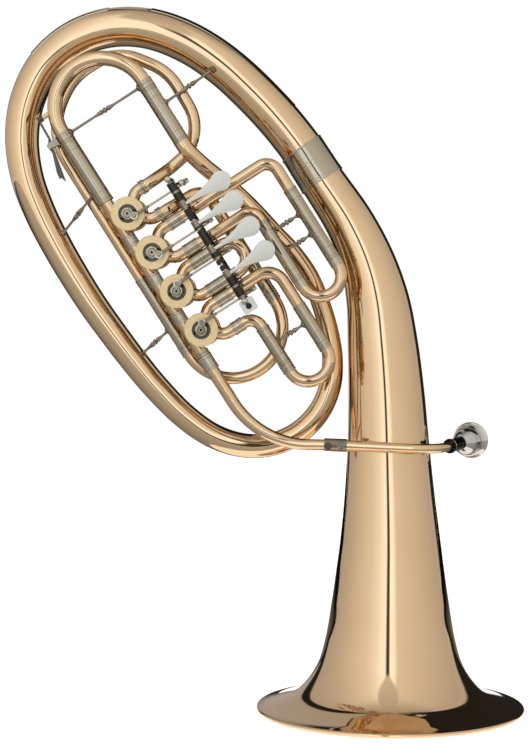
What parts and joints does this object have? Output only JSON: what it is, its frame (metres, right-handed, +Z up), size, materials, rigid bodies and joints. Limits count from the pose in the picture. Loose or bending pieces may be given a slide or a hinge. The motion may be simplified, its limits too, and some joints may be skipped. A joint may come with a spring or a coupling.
{
  "type": "oval baritone horn",
  "caption": "Oval baritone horn standing on its bell: conical brass tube in one tall loop, rotary valves worked by flat levers, tuning slides, leadpipe and mouthpiece.",
  "frame": {"origin": "centre of the bell's rim, in the plane that it stands on", "axes": "+Z up along the bell's axis, +X towards the mouthpiece's side, -Y towards the valve levers"},
  "size_m": [0.5622, 0.29, 0.758],
  "materials": {
    "body_brass": "polished gold brass, clear lacquer",
    "cap_brass": "satin yellow brass",
    "nickel_silver": "polished nickel silver",
    "paddle_silver": "polished nickel silver, pale",
    "dark_nickel": "polished nickel silver",
    "silver_plate": "silver plate",
    "cork": "matte black",
    "spring_steel": "blued spring wire"
  },
  "bodies": {
    "horn": {"bell": "body_brass", "bell_rim_bead": "body_brass", "bell_ferrule": "nickel_silver", "top_bow": "body_brass", "left_branch": "body_brass", "bottom_bow": "body_brass", "return_branch": "body_brass", "bow_guards": "nickel_silver", "main_slide_outer_legs": "nickel_silver", "inline_sleeves": "nickel_silver", "valve_front_plates": "dark_nickel", "valve_back_plates": "cap_brass", "valve_back_caps": "cap_brass", "cork_plates": "cap_brass", "stop_corks": "cork", "first_valve_pipes": "body_brass", "third_valve_pipes": "body_brass", "fourth_valve_upper_crook": "body_brass", "fourth_valve_lower_crook": "body_brass", "leadpipe": "body_brass", "mouthpiece_receiver": "dark_nickel", "lyre_holder": "nickel_silver", "braces": "nickel_silver", "lever_rail": "nickel_silver", "lever_axle": "nickel_silver", "lever_springs": "spring_steel", "first_valve_casing": "body_brass", "second_valve_casing": "body_brass", "third_valve_casing": "body_brass", "fourth_valve_casing": "body_brass", "first_slide_outer_legs": "nickel_silver", "second_slide_outer_legs": "nickel_silver", "third_slide_outer_legs": "nickel_silver", "fourth_slide_outer_legs": "nickel_silver"},
    "main_slide": {"main_slide_bow": "body_brass", "main_slide_brace": "nickel_silver", "water_key_saddle": "nickel_silver"},
    "water_key": {"water_key": "nickel_silver"},
    "first_slide": {"first_slide_bow": "body_brass"},
    "second_slide": {"second_slide_bow": "body_brass"},
    "third_slide": {"third_slide_bow": "body_brass"},
    "fourth_slide": {"fourth_slide_bow": "body_brass"},
    "first_lever": {"first_lever": "paddle_silver"},
    "first_link": {"first_link_rod": "nickel_silver"},
    "first_rotor": {"first_rotor": "cap_brass", "first_stop_arm": "nickel_silver"},
    "second_lever": {"second_lever": "paddle_silver"},
    "second_link": {"second_link_rod": "nickel_silver"},
    "second_rotor": {"second_rotor": "cap_brass", "second_stop_arm": "nickel_silver"},
    "third_lever": {"third_lever": "paddle_silver"},
    "third_link": {"third_link_rod": "nickel_silver"},
    "third_rotor": {"third_rotor": "cap_brass", "third_stop_arm": "nickel_silver"},
    "fourth_lever": {"fourth_lever": "paddle_silver"},
    "fourth_link": {"fourth_link_rod": "nickel_silver"},
    "fourth_rotor": {"fourth_rotor": "cap_brass", "fourth_stop_arm": "nickel_silver"},
    "mouthpiece": {"mouthpiece": "silver_plate"},
    "lyre_screw": {"lyre_screw": "nickel_silver"}
  },
  "joints": [
    {"name": "main_slide_pull", "type": "slide", "parent": "horn", "child": "main_slide", "axis": [-0.5358, 0, 0.8443], "range_m": [0, 0.05]},
    {"name": "water_key_press", "type": "hinge", "parent": "main_slide", "child": "water_key", "pos_m": [-0.36133, -0.042, 0.60604], "axis": [0, -1, 0], "range_deg": [0, 12], "stiffness_Nm_per_rad": 0.06, "springref_deg": -34.38},
    {"name": "first_slide_pull", "type": "slide", "parent": "horn", "child": "first_slide", "axis": [0.5358, 0, -0.8443], "range_m": [0, 0.03]},
    {"name": "second_slide_pull", "type": "slide", "parent": "horn", "child": "second_slide", "axis": [0.8443, 0, 0.5358], "range_m": [0, 0.018]},
    {"name": "third_slide_pull", "type": "slide", "parent": "horn", "child": "third_slide", "axis": [0.5358, 0, -0.8443], "range_m": [0, 0.03]},
    {"name": "fourth_slide_pull", "type": "slide", "parent": "horn", "child": "fourth_slide", "axis": [0.5358, 0, -0.8443], "range_m": [0, 0.04]},
    {"name": "first_lever_press", "type": "hinge", "parent": "horn", "child": "first_lever", "pos_m": [-0.19161, -0.086, 0.5047], "axis": [-0.5358, 0, 0.8443], "range_deg": [0, 30], "stiffness_Nm_per_rad": 0.08, "springref_deg": -34.38},
    {"name": "first_rotor_turn", "type": "hinge", "parent": "horn", "child": "first_rotor", "pos_m": [-0.19908, -0.042, 0.41196], "axis": [0, -1, 0], "range_deg": [0, 90]},
    {"name": "first_link_swing", "type": "hinge", "parent": "first_lever", "child": "first_link", "pos_m": [-0.17979, -0.07, 0.51221], "axis": [-0.5358, 0, 0.8443], "range_deg": [-26, 0]},
    {"name": "second_lever_press", "type": "hinge", "parent": "horn", "child": "second_lever", "pos_m": [-0.19161, -0.086, 0.5047], "axis": [-0.5358, 0, 0.8443], "range_deg": [0, 30], "stiffness_Nm_per_rad": 0.08, "springref_deg": -34.38},
    {"name": "second_rotor_turn", "type": "hinge", "parent": "horn", "child": "second_rotor", "pos_m": [-0.22485, -0.042, 0.45258], "axis": [0, -1, 0], "range_deg": [0, 90]},
    {"name": "second_link_swing", "type": "hinge", "parent": "second_lever", "child": "second_link", "pos_m": [-0.17979, -0.07, 0.51221], "axis": [-0.5358, 0, 0.8443], "range_deg": [-26, 0]},
    {"name": "third_lever_press", "type": "hinge", "parent": "horn", "child": "third_lever", "pos_m": [-0.19161, -0.086, 0.5047], "axis": [-0.5358, 0, 0.8443], "range_deg": [0, 30], "stiffness_Nm_per_rad": 0.08, "springref_deg": -34.38},
    {"name": "third_rotor_turn", "type": "hinge", "parent": "horn", "child": "third_rotor", "pos_m": [-0.25063, -0.042, 0.49319], "axis": [0, 1, 0], "range_deg": [0, 90]},
    {"name": "third_link_swing", "type": "hinge", "parent": "third_lever", "child": "third_link", "pos_m": [-0.17979, -0.07, 0.51221], "axis": [-0.5358, 0, 0.8443], "range_deg": [-26, 0]},
    {"name": "fourth_lever_press", "type": "hinge", "parent": "horn", "child": "fourth_lever", "pos_m": [-0.19161, -0.086, 0.5047], "axis": [-0.5358, 0, 0.8443], "range_deg": [0, 30], "stiffness_Nm_per_rad": 0.08, "springref_deg": -34.38},
    {"name": "fourth_rotor_turn", "type": "hinge", "parent": "horn", "child": "fourth_rotor", "pos_m": [-0.2764, -0.042, 0.5338], "axis": [0, 1, 0], "range_deg": [0, 90]},
    {"name": "fourth_link_swing", "type": "hinge", "parent": "fourth_lever", "child": "fourth_link", "pos_m": [-0.17979, -0.07, 0.51221], "axis": [-0.5358, 0, 0.8443], "range_deg": [-26, 0]},
    {"name": "mouthpiece_pull", "type": "slide", "parent": "horn", "child": "mouthpiece", "axis": [0.4065, 0.913, 0.0349], "range_m": [0, 0.03]},
    {"name": "lyre_screw_turn", "type": "hinge", "parent": "horn", "child": "lyre_screw", "pos_m": [-0.0659, -0.05683, 0.29015], "axis": [0, -1, 0], "continuous": true}
  ],
  "couplings": [
    {"joint": "first_rotor_turn", "follows": "first_lever_press", "ratio": 3},
    {"joint": "first_link_swing", "follows": "first_lever_press", "ratio": -0.857},
    {"joint": "second_rotor_turn", "follows": "second_lever_press", "ratio": 3},
    {"joint": "second_link_swing", "follows": "second_lever_press", "ratio": -0.857},
    {"joint": "third_rotor_turn", "follows": "third_lever_press", "ratio": 3},
    {"joint": "third_link_swing", "follows": "third_lever_press", "ratio": -0.857},
    {"joint": "fourth_rotor_turn", "follows": "fourth_lever_press", "ratio": 3},
    {"joint": "fourth_link_swing", "follows": "fourth_lever_press", "ratio": -0.857}
  ]
}
